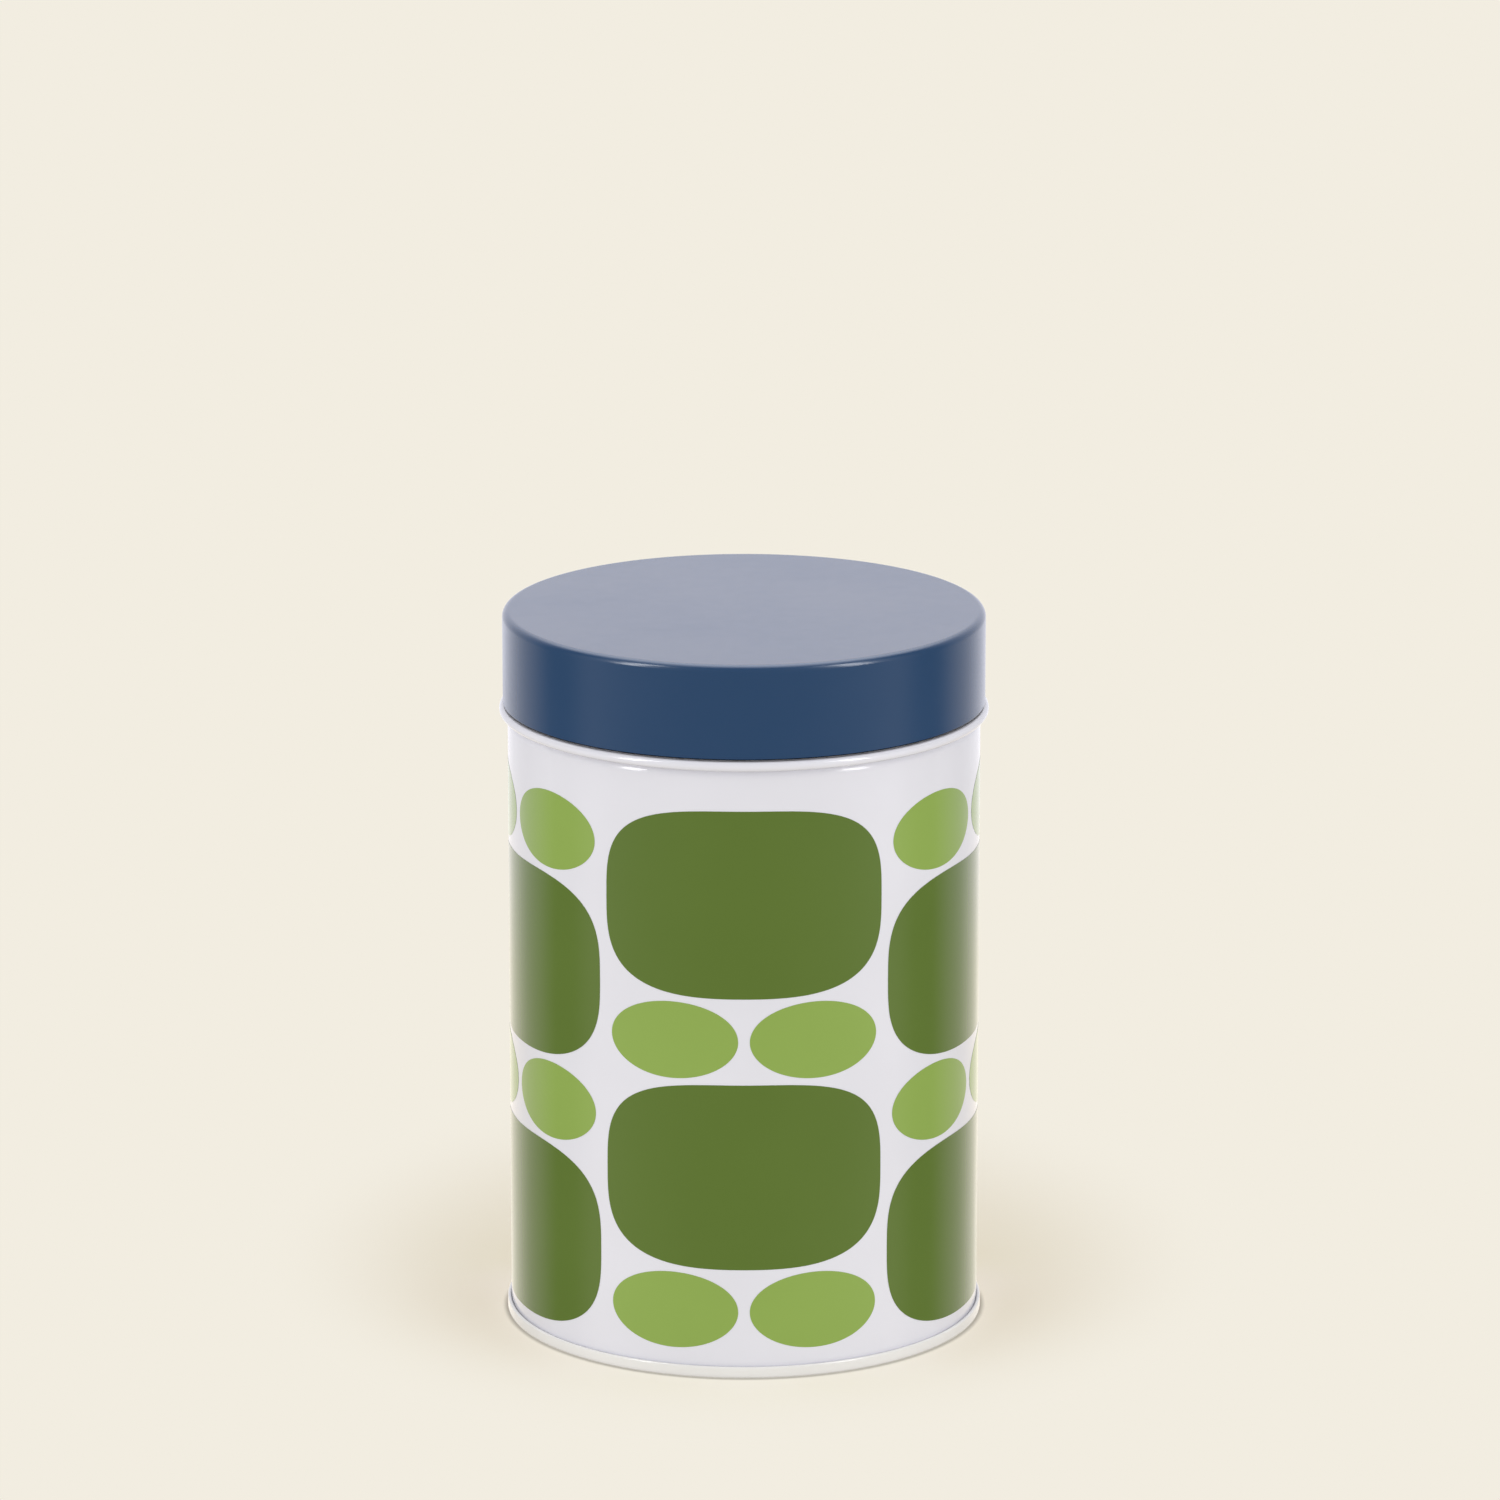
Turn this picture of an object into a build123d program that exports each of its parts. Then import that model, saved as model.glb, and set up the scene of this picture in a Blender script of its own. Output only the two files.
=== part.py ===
from build123d import *

import math
import os

# Round coffee tin with a slip lid, in millimetres. +Z is up, the origin is the centre of the ring that the
# tin stands on, and the front faces -Y. Each sheet-metal piece is one strip of tinplate, folded along a path
# in the half plane of radius and height, then turned about the tin's axis.

# Driving dimensions
GAUGE = 0.25  # tinplate thickness
TIN_HEIGHT = 165.4  # resting ring to lid top
WALL_R = 53.7  # outside of the body wall
NECK_R = 53.7  # outside of the neck that the lid slips over
BEAD_R = 55.6  # crest of the rolled bead that stops the lid
BEAD_HALF = 1.1  # half the bead's height, and the radius of its crest
SHOULDER_BEND = 2.4  # middle radius of the shoulder where the wall turns in to the groove under the bead
SHOULDER_ANGLE = 35
LID_R = 54.8  # outside of the lid
LID_DEPTH = 21.5  # lid top to the foot of its skirt
LID_CORNER = 1.6  # outer radius between the lid's top and its skirt
HEM_R = 0.4  # outer radius of the hem curled in at the skirt's foot
LID_GAP = 0.3  # air between the closed lid's hem and the bead
MOUTH_CURL_R = 0.9  # outer radius of the curl at the neck's mouth
SEAL_THICK = 0.8  # both seal rings
SEAL_PLAY = 0.04  # air above and below each seal ring
SEAM_HEIGHT = 2.7  # double seam at the foot
PLUG_PLAY = 0.2  # between the curled mouth and the inner lid's plug
PLUG_DEPTH = 12.0  # inner lid's flange to its floor

# Heights and radii that follow from them
HALF = GAUGE / 2
CREST_BEND = BEAD_HALF - HALF
CREASE_BEND = GAUGE + HALF + 0.1  # middle radius of the creases above and below the bead
SHOULDER_SINE = math.sin(math.radians(SHOULDER_ANGLE))
LID_FOOT_Z = TIN_HEIGHT - LID_DEPTH
BEAD_Z = LID_FOOT_Z - LID_GAP - BEAD_HALF
SHOULDER_Z = BEAD_Z - CREST_BEND - CREASE_BEND * (1 + SHOULDER_SINE) - SHOULDER_BEND * SHOULDER_SINE
LID_SEAL_TOP_Z = TIN_HEIGHT - GAUGE - SEAL_PLAY
LID_SEAL_FOOT_Z = LID_SEAL_TOP_Z - SEAL_THICK
FLANGE_TOP_Z = LID_SEAL_FOOT_Z - SEAL_PLAY
GASKET_TOP_Z = FLANGE_TOP_Z - GAUGE - SEAL_PLAY
GASKET_FOOT_Z = GASKET_TOP_Z - SEAL_THICK
MOUTH_Z = GASKET_FOOT_Z - SEAL_PLAY
PLUG_R = NECK_R - 2 * MOUTH_CURL_R - PLUG_PLAY
FLANGE_R = NECK_R - 0.2
PLUG_FLOOR_Z = FLANGE_TOP_Z - PLUG_DEPTH

# Double seam: five layers of sheet, from the end's chuck wall outwards
LAYER_GAP = 0.05
COMPOUND_GAP = 0.12  # between the chuck wall and the body wall, where the sealing compound lies
COMPOUND_PLAY = 0.02  # air on each face of the compound
CHUCK_R = WALL_R - GAUGE - COMPOUND_GAP - HALF  # the radii from here are those of each layer's middle
COVER_HOOK_R = WALL_R + LAYER_GAP + HALF
BODY_HOOK_R = COVER_HOOK_R + GAUGE + LAYER_GAP
SEAM_WALL_R = BODY_HOOK_R + GAUGE + LAYER_GAP
HOOK_BEND = GAUGE + LAYER_GAP
SEAM_FOOT_BEND = 0.4
BODY_HOOK_FOOT_Z = GAUGE + LAYER_GAP + HALF + HOOK_BEND
SEAM_TOP_BEND_Z = SEAM_HEIGHT - HALF - HOOK_BEND

# Lock seam down the back of the wall, with its outside groove at the very back and its fold beside that
LOCK_WIDTH = 4.0
LOCK_THICK = 3 * GAUGE  # folded layers that stand proud inside
LOCK_FOOT_Z = 6.5
LOCK_TOP_Z = SHOULDER_Z - 0.5
GROOVE_WIDTH = 0.3
GROOVE_DEPTH = 0.1

# Pressed panels of the base and the inner lid
PRESS_BEND = 1.0
PRESS_ANGLE = 40
PRESS_RAMP = 0.3
BASE_PANEL_Z = 3.6
BASE_STEPS_R = (22.0, 37.0, 47.0)  # where the base panel steps up, down and up again
PLUG_STEPS_R = (12.0, 40.0)  # where the inner lid's floor steps up and down again

# Knob and its rivet, in the middle of the inner lid
KNOB_FOOT_R = 5.2
KNOB_WAIST_R = 3.6
KNOB_HEAD_R = 8.5
KNOB_HEIGHT = 9.4
KNOB_FOOT_EDGE = 1.0  # height of the foot's upright edge
KNOB_WAIST_LIFT = 3.2  # the waist above the foot
KNOB_BRIM = 0.8  # radius of the head's rounded brim
KNOB_CROWN = 1.5  # rise of the crown above the brim
RIVET_R = 1.45
RIVET_REACH = 6.0  # shank above the floor
RIVET_HEAD_R = 3.2
RIVET_HEAD_EDGE = 0.25  # upright edge of the head
RIVET_HEAD_CROWN = 0.65
SHANK_PLAY = 0.05
BORE_R = RIVET_R + SHANK_PLAY
BORE_END = 0.3  # bore beyond the rivet's tip


def at(radius, height):
    """A point in the half plane of radius and height."""
    return (radius, 0, height)


def turned(*edges):
    """A solid turned about the tin's axis from a closed outline."""
    return revolve(Face(Wire(edges)), Axis.Z)


def ring(inner, outer, low, high):
    """A ring of rectangular section about the tin's axis."""
    corners = (at(inner, low), at(outer, low), at(outer, high), at(inner, high))
    return turned(*Polyline(*corners, close=True).edges())


def dome(radius, rim_height, crown_height):
    """The arc from a dome's rim to its crown on the axis, as part of a sphere centred on the axis."""
    rise = crown_height - rim_height
    sphere = (radius**2 + rise**2) / (2 * rise)
    half_angle = math.asin(radius / abs(sphere)) / 2
    drop = sphere * (1 - math.cos(half_angle))
    middle = at(abs(sphere) * math.sin(half_angle), crown_height - drop)
    return ThreePointArc(at(radius, rim_height), middle, at(0, crown_height))


class Sheet:
    """A strip of tinplate in the half plane of radius and height, laid out along its middle line."""

    def __init__(self, radius, height, heading):
        self.end = (radius, height)
        self.heading = math.radians(heading)  # 0 points outwards, 90 points up
        self.left = []
        self.right = []

    def point(self, ahead, aside):
        """The point that lies ahead of the strip's end and aside to its left."""
        radius, height = self.end
        return at(
            radius + ahead * math.cos(self.heading) - aside * math.sin(self.heading),
            height + ahead * math.sin(self.heading) + aside * math.cos(self.heading),
        )

    def run(self, length):
        """Goes straight ahead."""
        for edges, offset in ((self.left, HALF), (self.right, -HALF)):
            edges.append(Line(self.point(0, offset), self.point(length, offset)))
        radius, _, height = self.point(length, 0)
        self.end = (radius, height)
        return self

    def run_to(self, radius=None, height=None):
        """Goes straight ahead until the middle line reaches a radius or a height."""
        if radius is not None:
            return self.run((radius - self.end[0]) / math.cos(self.heading))
        return self.run((height - self.end[1]) / math.sin(self.heading))

    def bend(self, radius, angle):
        """Turns left by a positive angle or right by a negative one, with the middle line at radius."""
        swing = math.copysign(radius, angle)
        centre_radius, _, centre_height = self.point(0, swing)

        def on_bend(share, offset):
            heading = self.heading + math.radians(angle) * share
            reach = swing - offset
            return at(centre_radius + reach * math.sin(heading), centre_height - reach * math.cos(heading))

        for edges, offset in ((self.left, HALF), (self.right, -HALF)):
            edges.append(ThreePointArc(*(on_bend(share, offset) for share in (0, 0.5, 1))))
        end_radius, _, end_height = on_bend(1, 0)
        self.end = (end_radius, end_height)
        self.heading += math.radians(angle)
        return self

    def step(self, angle):
        """Steps a panel up for a positive angle, or down for a negative one."""
        return self.bend(PRESS_BEND, angle).run(PRESS_RAMP).bend(PRESS_BEND, -angle)

    def solid(self):
        """The strip with its two ends closed, turned about the tin's axis."""
        ends = (Line(self.left[0] @ 0, self.right[0] @ 0), Line(self.left[-1] @ 1, self.right[-1] @ 1))
        return turned(*self.left, *self.right, *ends)


def wall_strip(inner, outer, width, shift=0.0):
    """An upright strip along the lock seam at the back, width wide and moved shift round the wall."""
    section = Face.make_rect(outer - inner, LOCK_TOP_Z - LOCK_FOOT_Z, Plane.XZ)
    section = Pos((inner + outer) / 2, 0, (LOCK_FOOT_Z + LOCK_TOP_Z) / 2) * section
    spread = math.degrees(width / WALL_R)
    start = 90 + math.degrees(shift / WALL_R) - spread / 2
    return Rot(0, 0, start) * revolve(section, Axis.Z, spread)


def body_wall():
    """Wall of the tin: hook in the double seam, straight wall, groove, rolled bead, neck and curled mouth."""
    wall_r = WALL_R - HALF
    neck_r = NECK_R - HALF
    sheet = Sheet(BODY_HOOK_R, SEAM_TOP_BEND_Z - HALF, -90)
    sheet.run_to(height=BODY_HOOK_FOOT_Z)
    sheet.bend(HOOK_BEND, -180)
    sheet.run_to(height=SHOULDER_Z)
    sheet.bend(SHOULDER_BEND, SHOULDER_ANGLE)
    sheet.bend(CREASE_BEND, -90 - SHOULDER_ANGLE)
    sheet.run_to(radius=BEAD_R - BEAD_HALF)
    sheet.bend(CREST_BEND, 180)
    sheet.run_to(radius=neck_r + CREASE_BEND)
    sheet.bend(CREASE_BEND, -90)
    sheet.run_to(height=MOUTH_Z - MOUTH_CURL_R)
    sheet.bend(MOUTH_CURL_R - HALF, 300)
    inside_r = wall_r - HALF
    fold = wall_strip(inside_r - LOCK_THICK, wall_r, LOCK_WIDTH, LOCK_WIDTH / 2)
    groove = wall_strip(WALL_R - GROOVE_DEPTH, WALL_R + GAUGE, GROOVE_WIDTH)
    return sheet.solid() + fold - groove


def base_end():
    """Base: pressed panel, chuck wall, and the outer layers of the double seam with a flat resting ring."""
    rim_bend = 2 * SEAM_FOOT_BEND
    sheet = Sheet(0, BASE_PANEL_Z, 0)
    for radius, angle in zip(BASE_STEPS_R, (PRESS_ANGLE, -PRESS_ANGLE, PRESS_ANGLE)):
        sheet.run_to(radius=radius).step(angle)
    sheet.run_to(radius=CHUCK_R - rim_bend)
    sheet.bend(rim_bend, -90)
    sheet.run_to(height=HALF + SEAM_FOOT_BEND)
    sheet.bend(SEAM_FOOT_BEND, 90)
    sheet.run_to(radius=SEAM_WALL_R - SEAM_FOOT_BEND)
    sheet.bend(SEAM_FOOT_BEND, 90)
    sheet.run_to(height=SEAM_TOP_BEND_Z)
    sheet.bend(HOOK_BEND, 180)
    sheet.run_to(height=BODY_HOOK_FOOT_Z + GAUGE)
    return sheet.solid()


def base_seam_gasket():
    """Film of sealing compound between the body wall and the base's chuck wall."""
    inner = CHUCK_R + HALF + COMPOUND_PLAY
    outer = WALL_R - GAUGE - COMPOUND_PLAY
    return ring(inner, outer, BODY_HOOK_FOOT_Z, SEAM_TOP_BEND_Z)


def lid_shell():
    """Drawn lid: flat top, rounded corner, straight skirt and a hem curled inwards."""
    skirt_r = LID_R - HALF
    corner_bend = LID_CORNER - HALF
    sheet = Sheet(0, TIN_HEIGHT - HALF, 0)
    sheet.run_to(radius=skirt_r - corner_bend)
    sheet.bend(corner_bend, -90)
    sheet.run_to(height=LID_FOOT_Z + HEM_R)
    sheet.bend(HEM_R - HALF, -250)
    return sheet.solid()


def lid_seal():
    """Silicone ring under the lid's top, with a rounded upper rim beside the lid's corner."""
    seal = ring(PLUG_R - 2, LID_R - LID_CORNER, LID_SEAL_FOOT_Z, LID_SEAL_TOP_Z)
    upper_rim = seal.edges().filter_by(GeomType.CIRCLE).group_by(Axis.Z)[-1].sort_by(Edge.length)[-1]
    return fillet(upper_rim, SEAL_THICK * 0.75)


def inner_lid():
    """Pressed plug lid: floor with a raised ring and a rivet hole, plug wall, and a flange over the mouth."""
    wall_r = PLUG_R - HALF
    floor_bend = 1.2
    flange_bend = 0.4
    sheet = Sheet(BORE_R + 2 * SHANK_PLAY, PLUG_FLOOR_Z, 0)
    for radius, angle in zip(PLUG_STEPS_R, (PRESS_ANGLE, -PRESS_ANGLE)):
        sheet.run_to(radius=radius).step(angle)
    sheet.run_to(radius=wall_r - floor_bend)
    sheet.bend(floor_bend, 90)
    sheet.run_to(height=FLANGE_TOP_Z - HALF - flange_bend)
    sheet.bend(flange_bend, -90)
    sheet.run_to(radius=FLANGE_R)
    return sheet.solid()


def inner_lid_gasket():
    """Silicone ring between the inner lid's flange and the curled mouth."""
    return ring(PLUG_R + 0.45, FLANGE_R, GASKET_FOOT_Z, GASKET_TOP_Z)


def inner_lid_knob():
    """Turned mushroom knob that stands on the inner lid's floor, with a blind bore for the rivet."""
    foot_z = PLUG_FLOOR_Z + HALF + COMPOUND_PLAY
    foot_edge_z = foot_z + KNOB_FOOT_EDGE
    crown_z = foot_z + KNOB_HEIGHT
    brim_r = KNOB_HEAD_R - KNOB_BRIM
    brim_top_z = crown_z - KNOB_CROWN
    brim_z = brim_top_z - KNOB_BRIM
    bore_end_z = foot_z + RIVET_REACH + BORE_END
    waist = at(KNOB_WAIST_R, foot_z + KNOB_WAIST_LIFT)
    return turned(
        Line(at(BORE_R, foot_z), at(KNOB_FOOT_R, foot_z)),
        Line(at(KNOB_FOOT_R, foot_z), at(KNOB_FOOT_R, foot_edge_z)),
        ThreePointArc(at(KNOB_FOOT_R, foot_edge_z), waist, at(brim_r, brim_z - KNOB_BRIM)),
        ThreePointArc(at(brim_r, brim_z - KNOB_BRIM), at(KNOB_HEAD_R, brim_z), at(brim_r, brim_top_z)),
        dome(brim_r, brim_top_z, crown_z),
        Line(at(0, crown_z), at(0, bore_end_z)),
        Line(at(0, bore_end_z), at(BORE_R, bore_end_z)),
        Line(at(BORE_R, bore_end_z), at(BORE_R, foot_z)),
    )


def inner_lid_rivet():
    """Rivet from below: a low domed head under the floor, and a shank that ends in the knob's bore."""
    head_top_z = PLUG_FLOOR_Z - HALF - COMPOUND_PLAY
    head_edge_z = head_top_z - RIVET_HEAD_EDGE
    head_crown_z = head_edge_z - RIVET_HEAD_CROWN
    tip_z = PLUG_FLOOR_Z + RIVET_REACH
    return turned(
        dome(RIVET_HEAD_R, head_edge_z, head_crown_z),
        Line(at(RIVET_HEAD_R, head_edge_z), at(RIVET_HEAD_R, head_top_z)),
        Line(at(RIVET_HEAD_R, head_top_z), at(RIVET_R, head_top_z)),
        Line(at(RIVET_R, head_top_z), at(RIVET_R, tip_z)),
        Line(at(RIVET_R, tip_z), at(0, tip_z)),
        Line(at(0, tip_z), at(0, head_crown_z)),
    )


PIECES = (
    body_wall,
    base_end,
    base_seam_gasket,
    lid_shell,
    lid_seal,
    inner_lid,
    inner_lid_gasket,
    inner_lid_knob,
    inner_lid_rivet,
)

os.makedirs("parts", exist_ok=True)
for piece in PIECES:
    export_step(piece(), f"parts/{piece.__name__}.step")
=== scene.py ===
import cmath
import math

import bmesh
import bpy
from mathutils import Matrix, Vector


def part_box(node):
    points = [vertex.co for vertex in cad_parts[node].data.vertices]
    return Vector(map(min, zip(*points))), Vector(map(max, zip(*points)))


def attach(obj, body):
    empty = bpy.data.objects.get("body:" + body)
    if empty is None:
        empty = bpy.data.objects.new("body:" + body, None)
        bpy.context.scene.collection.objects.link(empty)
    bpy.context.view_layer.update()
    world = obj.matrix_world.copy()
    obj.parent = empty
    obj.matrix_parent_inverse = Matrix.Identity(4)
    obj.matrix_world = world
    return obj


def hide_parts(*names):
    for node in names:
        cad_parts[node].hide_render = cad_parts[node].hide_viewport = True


# A round printed coffee tin with a slip lid. Every sheet-metal piece is a strip of tinplate that is followed
# along its section and turned about the tin's axis, as in the CAD frame, but finely enough for close views.
# Units: metres.

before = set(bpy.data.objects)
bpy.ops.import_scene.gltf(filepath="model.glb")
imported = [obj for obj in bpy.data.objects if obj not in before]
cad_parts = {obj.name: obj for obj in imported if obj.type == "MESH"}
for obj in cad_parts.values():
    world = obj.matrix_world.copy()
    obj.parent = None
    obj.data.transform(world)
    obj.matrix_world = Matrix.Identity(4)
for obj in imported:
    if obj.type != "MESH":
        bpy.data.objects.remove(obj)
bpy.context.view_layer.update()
MM = 0.001


def reach(node, low=-1.0, high=1.0):
    """The largest radius of a CAD node's vertices between two heights."""
    points = (vertex.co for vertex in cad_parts[node].data.vertices)
    return max(math.hypot(point.x, point.y) for point in points if low <= point.z <= high)


# Sizes that the frame gives
TIN_TOP_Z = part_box("lid_shell")[1].z
LID_FOOT_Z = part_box("lid_shell")[0].z
LID_R = reach("lid_shell")
BEAD_R = reach("body_wall")
SEAM_R = reach("base_end")
MOUTH_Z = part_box("body_wall")[1].z
NECK_R = reach("body_wall", LID_FOOT_Z + MM)
WALL_R = reach("body_wall", 4 * MM, LID_FOOT_Z - 10 * MM)
FLANGE_TOP_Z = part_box("inner_lid")[1].z
FLANGE_R = reach("inner_lid")

# Sheet-metal sizes
GAUGE = 0.25 * MM
HALF = GAUGE / 2
LAYER_GAP = 0.05 * MM
LID_GAP = 0.3 * MM
BEAD_HALF = 1.1 * MM
CREST_BEND = BEAD_HALF - HALF
CREASE_BEND = GAUGE + HALF + 0.1 * MM  # middle radius of the creases above and below the bead
SHOULDER_BEND = 2.4 * MM
SHOULDER_ANGLE = 35
SHOULDER_SINE = math.sin(math.radians(SHOULDER_ANGLE))
BEAD_Z = LID_FOOT_Z - LID_GAP - BEAD_HALF
SHOULDER_Z = BEAD_Z - CREST_BEND - CREASE_BEND * (1 + SHOULDER_SINE) - SHOULDER_BEND * SHOULDER_SINE
MOUTH_CURL_R = 0.9 * MM
LID_CORNER = 1.6 * MM
HEM_R = 0.4 * MM
HEM_SHADE_REACH = 0.32 * MM  # how far up the hem the painted shade on its underside reaches
PLUG_PLAY = 0.2 * MM
PLUG_R = NECK_R - 2 * MOUTH_CURL_R - PLUG_PLAY
PLUG_DEPTH = 12 * MM
PLUG_FLOOR_Z = FLANGE_TOP_Z - PLUG_DEPTH

# Double seam round the base
SEAM_HEIGHT = 2.7 * MM
SEAM_FOOT_BEND = 0.4 * MM
HOOK_BEND = GAUGE + LAYER_GAP
COMPOUND_GAP = 0.12 * MM
CHUCK_R = WALL_R - GAUGE - HALF - COMPOUND_GAP
BODY_HOOK_R = SEAM_R - HALF - HOOK_BEND
BODY_HOOK_FOOT_Z = GAUGE + LAYER_GAP + HALF + HOOK_BEND
SEAM_TOP_BEND_Z = SEAM_HEIGHT - HALF - HOOK_BEND

# Lock seam up the back of the wall
LOCK_WIDTH = 4 * MM
LOCK_THICK = 3 * GAUGE
LOCK_FOOT_Z = 6.5 * MM
LOCK_TOP_Z = SHOULDER_Z - 0.5 * MM
LOCK_RAMP = 0.4 * MM
GROOVE_HALF = 0.2 * MM
GROOVE_DEPTH = 0.1 * MM

# Pressed steps in the base and the inner lid
PRESS_BEND = 1 * MM
PRESS_ANGLE = 40
PRESS_RAMP = 0.3 * MM
BASE_PANEL_Z = 3.6 * MM
BASE_STEPS_R = (22 * MM, 37 * MM, 47 * MM)
PLUG_STEPS_R = (12 * MM, 40 * MM)

# Knob and rivet in the middle of the inner lid
KNOB_FOOT_R = 5.2 * MM
KNOB_FOOT_EDGE = 1 * MM  # height of the foot's edge
KNOB_FOOT_ROUND = 0.2 * MM
KNOB_WAIST_R = 3.6 * MM
KNOB_WAIST_LIFT = 3.2 * MM  # the waist above the foot
KNOB_BRIM = 0.8 * MM  # radius of the head's rounded brim
KNOB_CROWN = 1.5 * MM  # rise of the crown above the brim
BORE_R = 1.5 * MM
BORE_DEPTH = 6.2 * MM
RIVET_R = 1.45 * MM
RIVET_HOLE_R = 1.6 * MM
RIVET_HEAD_EDGE = 0.25 * MM  # upright edge of the head
RIVET_HEAD_CROWN = 0.65 * MM

# Print on the wall: five columns, each of two blocks and two pairs of ovals
PRINT_FOOT_Z = 5.4 * MM
PRINT_TOP_Z = 132 * MM
PRINT_COLUMNS = 5
PRINT_ROWS = 2
PRINT_PITCH = 67.2 * MM  # round the wall, a little less than a fifth of it, to leave the seam bare
BLOCK_SIZE = (65.3 * MM, 43.3 * MM)
BLOCK_SQUARENESS = 3.2
OVAL_SIZE = (30 * MM, 17.8 * MM)
OVAL_GAP = 2.6 * MM
PRINT_LIFT = 0.02 * MM
PRINT_THICK = 0.03 * MM

# Fineness of the meshes
TURN_STEPS = 256
KNOB_TURN_STEPS = 96
MIN_TURN = 1e-4  # the least angle between two places round the wall
ON_AXIS = MM / 1000  # points nearer the axis than this lie on it
ARC_STEPS = 12  # in each half of an arc
SOFT_CORNER = 0.3  # corner radius of a moulded ring, in its heights
SOFT_CORNER_STEPS = 4
BEND_STEP = 10
RUN_INSET = 0.15 * MM
PATCH_STEPS = 48
CREASE_ANGLE = math.radians(40)


class Strip:
    """A strip of tinplate in the half plane of radius and height, followed along its middle line."""

    def __init__(self, radius, height, heading):
        self.radius = radius
        self.height = height
        self.heading = math.radians(heading)  # 0 points outwards, 90 points up
        self.left = []
        self.right = []
        self.mark()

    def mark(self):
        """Adds a point to each face where the strip now ends."""
        across = -HALF * math.sin(self.heading)
        along = HALF * math.cos(self.heading)
        self.left.append((self.radius + across, self.height + along))
        self.right.append((self.radius - across, self.height - along))

    def run(self, length):
        """Goes straight ahead, with a point just inside each end so that the shading stays flat between."""
        inset = min(RUN_INSET, length / 4)
        for stride in (inset, length - 2 * inset, inset):
            self.radius += stride * math.cos(self.heading)
            self.height += stride * math.sin(self.heading)
            self.mark()
        return self

    def run_to(self, radius=None, height=None):
        """Goes straight ahead until the middle line reaches a radius or a height."""
        if radius is not None:
            return self.run((radius - self.radius) / math.cos(self.heading))
        return self.run((height - self.height) / math.sin(self.heading))

    def bend(self, radius, angle):
        """Turns left by a positive angle or right by a negative one, with the middle line at radius."""
        swing = math.copysign(radius, angle)
        centre_radius = self.radius - swing * math.sin(self.heading)
        centre_height = self.height + swing * math.cos(self.heading)
        steps = max(2, math.ceil(abs(angle) / BEND_STEP))
        for _ in range(steps):
            self.heading += math.radians(angle / steps)
            self.radius = centre_radius + swing * math.sin(self.heading)
            self.height = centre_height - swing * math.cos(self.heading)
            self.mark()
        return self

    def step(self, angle):
        """Steps a panel up for a positive angle, or down for a negative one."""
        return self.bend(PRESS_BEND, angle).run(PRESS_RAMP).bend(PRESS_BEND, -angle)

    def outline(self):
        return self.left + self.right[::-1]


def arc(start, middle, end):
    """Points on the arc that starts after start, and passes through middle to end."""
    first, second, third = (complex(*point) for point in (start, middle, end))
    ratio = (third - first) / (second - first)
    centre = first + (second - first) * (ratio - abs(ratio) ** 2) / (2j * ratio.imag)
    points = []
    for begin, finish in ((first, second), (second, third)):
        turn = cmath.phase((finish - centre) / (begin - centre))
        for step in range(1, ARC_STEPS + 1):
            point = centre + (begin - centre) * cmath.rect(1, turn * step / ARC_STEPS)
            points.append((point.real, point.imag))
    return points


def dome(radius, rim_height, crown_height):
    """Points on a dome's arc from its rim to its crown on the axis."""
    return arc((radius, rim_height), (0, crown_height), (-radius, rim_height))[:ARC_STEPS]


def even_turn(steps=TURN_STEPS):
    """Evenly spaced angles for one turn about the axis."""
    return [math.tau * step / steps for step in range(steps)]


def turn_with_lock_seam():
    """The even angles, with closer ones at the back where the lock seam's edges lie."""
    near = [share * LOCK_RAMP for share in (-1, -0.5, -0.25, 0, 0.25, 0.5, 1)]
    extra = [math.pi / 2 + (edge + offset) / WALL_R for edge in (0, LOCK_WIDTH) for offset in near]
    even = [angle for angle in even_turn() if min(abs(angle - other) for other in extra) > MIN_TURN]
    return sorted(even + extra)


def make_object(name, bm, materials):
    """A smooth-shaded object from a bmesh, with its sharp edges kept."""
    bmesh.ops.recalc_face_normals(bm, faces=bm.faces)
    mesh = bpy.data.meshes.new(name)
    bm.to_mesh(mesh)
    bm.free()
    for material in materials:
        mesh.materials.append(material)
    mesh.shade_smooth()
    mesh.set_sharp_from_angle(angle=CREASE_ANGLE)
    obj = bpy.data.objects.new(name, mesh)
    bpy.context.scene.collection.objects.link(obj)
    return obj


def turned(name, outline, materials, first_face_points=0, angles=None):
    """Turns a closed outline about the axis. The faces of its first points take the first material."""
    angles = angles or even_turn()
    bm = bmesh.new()
    rings = []
    for radius, height in outline:
        if radius < ON_AXIS:
            rings.append([bm.verts.new((0, 0, height))])
        else:
            rings.append([bm.verts.new((radius * math.cos(a), radius * math.sin(a), height)) for a in angles])
    for row, ring in enumerate(rings):
        following = rings[(row + 1) % len(rings)]
        if len(ring) == 1 and len(following) == 1:
            continue
        for column in range(len(angles)):
            after = (column + 1) % len(angles)
            corners = [ring[column % len(ring)], ring[after % len(ring)]]
            corners += [following[after % len(following)], following[column % len(following)]]
            face = bm.faces.new(list(dict.fromkeys(corners)))
            face.material_index = 0 if row < first_face_points - 1 else len(materials) - 1
    return make_object(name, bm, materials)


def turned_strip(name, strip, left_material, right_material, angles=None):
    """Turns a strip about the axis, with a material on each face."""
    return turned(name, strip.outline(), (left_material, right_material), len(strip.left), angles)


def place(obj, body, slot, *nodes):
    """Names the body a piece rides on and the CAD nodes it stands for. Its slot argument is not used."""
    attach(obj, body)
    if nodes:
        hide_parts(*nodes)


# Materials


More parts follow.
